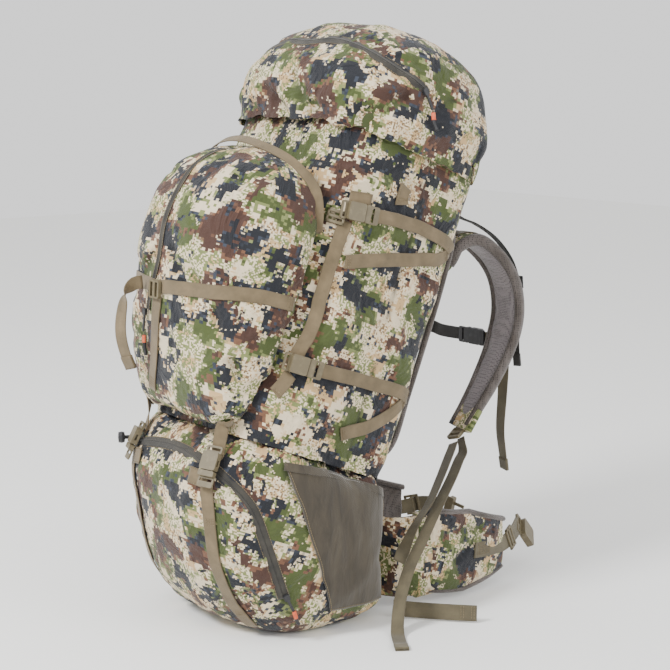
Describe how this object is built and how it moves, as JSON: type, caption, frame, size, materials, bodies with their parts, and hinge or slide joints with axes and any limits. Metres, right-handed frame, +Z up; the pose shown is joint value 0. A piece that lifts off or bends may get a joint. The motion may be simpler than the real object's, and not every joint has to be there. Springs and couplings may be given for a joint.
{
  "type": "hunting backpack",
  "caption": "Tall stuffed internal-frame pack with a hinged lid, front and side pockets, compression webbing, padded shoulder straps and padded hip wings, standing on its base.",
  "frame": {"origin": "middle of the flat underside of the base, on the floor", "axes": "+Z up; -Y towards the pack's outer face with the front pocket; +Y towards the wearer; +X towards the wearer's right"},
  "size_m": [0.5386, 0.7078, 0.8771],
  "materials": {
    "camo_cloth": null,
    "dark_cloth": "matt stretch woven cloth",
    "webbing": "matt ribbed nylon webbing",
    "thin_webbing": "matt dark narrow webbing",
    "pad_mesh": "matt open spacer mesh over foam",
    "buckle_plastic": "fine-grained moulded plastic",
    "black_plastic": "satin moulded plastic"
  },
  "bodies": {
    "pack": {"base_compartment": "camo_cloth", "main_bag": "camo_cloth", "front_pocket": "camo_cloth", "side_pocket_right": "dark_cloth", "side_pocket_left": "dark_cloth", "frame_sheet": "black_plastic", "back_panel": "pad_mesh", "lumbar_pad": "pad_mesh", "upper_strap_right": "webbing", "lower_strap_right": "webbing", "diagonal_strap_right": "webbing", "upper_strap_left": "webbing", "lower_strap_left": "webbing", "diagonal_strap_left": "webbing", "front_strap": "webbing", "front_ladder_lock": "buckle_plastic", "centre_strap": "webbing", "front_strap_tail": "webbing", "pocket_arc_strap": "thin_webbing", "side_buckle_right": "buckle_plastic", "low_buckle_right": "buckle_plastic", "front_buckle_right": "buckle_plastic", "base_strap_right": "webbing", "side_buckle_left": "buckle_plastic", "low_buckle_left": "buckle_plastic", "front_buckle_left": "buckle_plastic", "base_strap_left": "webbing", "haul_loop": "webbing", "tool_toggle": "black_plastic", "pad_strap_right": "webbing", "pad_strap_left": "webbing", "lower_webbing_right": "webbing", "shoulder_tail_right": "webbing", "lower_webbing_left": "webbing", "shoulder_tail_left": "webbing"},
    "lid": {"lid": "camo_cloth"},
    "lid_zip": {"lid_zip_slider": "black_plastic"},
    "pocket_zip": {"pocket_zip_slider": "black_plastic"},
    "base_zip_right": {"base_zip_slider_right": "black_plastic"},
    "side_clip_right": {"side_clip_right": "buckle_plastic"},
    "low_clip_right": {"low_clip_right": "buckle_plastic"},
    "front_clip_right": {"front_clip_right": "buckle_plastic"},
    "shoulder_right": {"shoulder_strap_right": "pad_mesh", "load_lifter_right": "thin_webbing"},
    "ladder_lock_right": {"ladder_lock_right": "buckle_plastic"},
    "hip_right": {"hip_wing_right": "camo_cloth"},
    "base_zip_left": {"base_zip_slider_left": "black_plastic"},
    "side_clip_left": {"side_clip_left": "buckle_plastic"},
    "low_clip_left": {"low_clip_left": "buckle_plastic"},
    "front_clip_left": {"front_clip_left": "buckle_plastic"},
    "shoulder_left": {"shoulder_strap_left": "pad_mesh", "load_lifter_left": "thin_webbing"},
    "ladder_lock_left": {"ladder_lock_left": "buckle_plastic"},
    "hip_left": {"hip_wing_left": "camo_cloth"},
    "sternum_right": {"sternum_buckle": "buckle_plastic", "sternum_tail": "webbing"},
    "sternum_left": {"sternum_web_left": "webbing"},
    "sternum_clip": {"sternum_clip": "buckle_plastic"},
    "hip_buckle_right": {"hip_buckle_right": "buckle_plastic"},
    "hip_clip_left": {"hip_clip_left": "buckle_plastic"}
  },
  "joints": [
    {"name": "lid_hinge", "type": "hinge", "parent": "pack", "child": "lid", "pos_m": [0, 0.3277, 0.6324], "axis": [-1, 0, 0], "range_deg": [0, 75]},
    {"name": "lid_zip_slide", "type": "slide", "parent": "lid", "child": "lid_zip", "axis": [-0.1599, -0.3111, 0.9368], "range_m": [0, 0.03]},
    {"name": "pocket_zip_slide", "type": "slide", "parent": "pack", "child": "pocket_zip", "axis": [0.1681, -0.01, 0.9857], "range_m": [0, 0.04]},
    {"name": "base_zip_slide_right", "type": "slide", "parent": "pack", "child": "base_zip_right", "axis": [0.0275, -0.4837, 0.8748], "range_m": [0, 0.03]},
    {"name": "side_clip_release_right", "type": "slide", "parent": "pack", "child": "side_clip_right", "axis": [0.2446, 0.938, -0.2456], "range_m": [0, 0.022]},
    {"name": "low_clip_release_right", "type": "slide", "parent": "pack", "child": "low_clip_right", "axis": [0.336, 0.8825, -0.3292], "range_m": [0, 0.022]},
    {"name": "front_clip_release_right", "type": "slide", "parent": "pack", "child": "front_clip_right", "axis": [0.1187, -0.4326, -0.8937], "range_m": [0, 0.022]},
    {"name": "base_zip_slide_left", "type": "slide", "parent": "pack", "child": "base_zip_left", "axis": [-0.0275, -0.4837, 0.8748], "range_m": [0, 0.03]},
    {"name": "side_clip_release_left", "type": "slide", "parent": "pack", "child": "side_clip_left", "axis": [-0.2446, 0.938, -0.2456], "range_m": [0, 0.022]},
    {"name": "low_clip_release_left", "type": "slide", "parent": "pack", "child": "low_clip_left", "axis": [-0.336, 0.8825, -0.3292], "range_m": [0, 0.022]},
    {"name": "front_clip_release_left", "type": "slide", "parent": "pack", "child": "front_clip_left", "axis": [-0.1187, -0.4326, -0.8937], "range_m": [0, 0.022]},
    {"name": "shoulder_swing_right", "type": "hinge", "parent": "pack", "child": "shoulder_right", "pos_m": [0, 0.316, 0.528], "axis": [1, 0, 0], "range_deg": [-10, 12]},
    {"name": "ladder_lock_tilt_right", "type": "hinge", "parent": "shoulder_right", "child": "ladder_lock_right", "pos_m": [0.1, 0.333, 0.247], "axis": [0.9643, 0.0922, 0.2482], "range_deg": [-25, 25]},
    {"name": "shoulder_swing_left", "type": "hinge", "parent": "pack", "child": "shoulder_left", "pos_m": [0, 0.316, 0.528], "axis": [1, 0, 0], "range_deg": [-10, 12]},
    {"name": "ladder_lock_tilt_left", "type": "hinge", "parent": "shoulder_left", "child": "ladder_lock_left", "pos_m": [-0.1, 0.333, 0.247], "axis": [0.9643, -0.0922, -0.2482], "range_deg": [-25, 25]},
    {"name": "sternum_height_right", "type": "slide", "parent": "shoulder_right", "child": "sternum_right", "axis": [0, 0.3721, 0.9282], "range_m": [-0.02, 0.02]},
    {"name": "sternum_height_left", "type": "slide", "parent": "shoulder_left", "child": "sternum_left", "axis": [0, 0.3721, 0.9282], "range_m": [-0.02, 0.02]},
    {"name": "sternum_clip_release", "type": "slide", "parent": "sternum_left", "child": "sternum_clip", "axis": [-1, 0, 0], "range_m": [0, 0.022]},
    {"name": "hip_fold_right", "type": "hinge", "parent": "pack", "child": "hip_right", "pos_m": [0.146, 0.222, 0.084], "axis": [0, 0, 1], "range_deg": [-20, 10]},
    {"name": "hip_fold_left", "type": "hinge", "parent": "pack", "child": "hip_left", "pos_m": [-0.146, 0.222, 0.084], "axis": [0, 0, -1], "range_deg": [-20, 10]},
    {"name": "hip_buckle_tilt", "type": "hinge", "parent": "hip_right", "child": "hip_buckle_right", "pos_m": [0.0935, 0.47735, 0.07268], "axis": [-0.6493, 0.5965, 0.4719], "range_deg": [-25, 25]},
    {"name": "hip_clip_tilt", "type": "hinge", "parent": "hip_left", "child": "hip_clip_left", "pos_m": [-0.08757, 0.47382, 0.06572], "axis": [-0.2202, -0.0661, -0.9732], "range_deg": [-25, 25]}
  ],
  "couplings": [
    {"joint": "shoulder_swing_left", "follows": "shoulder_swing_right", "ratio": 1},
    {"joint": "sternum_height_left", "follows": "sternum_height_right", "ratio": 1}
  ]
}
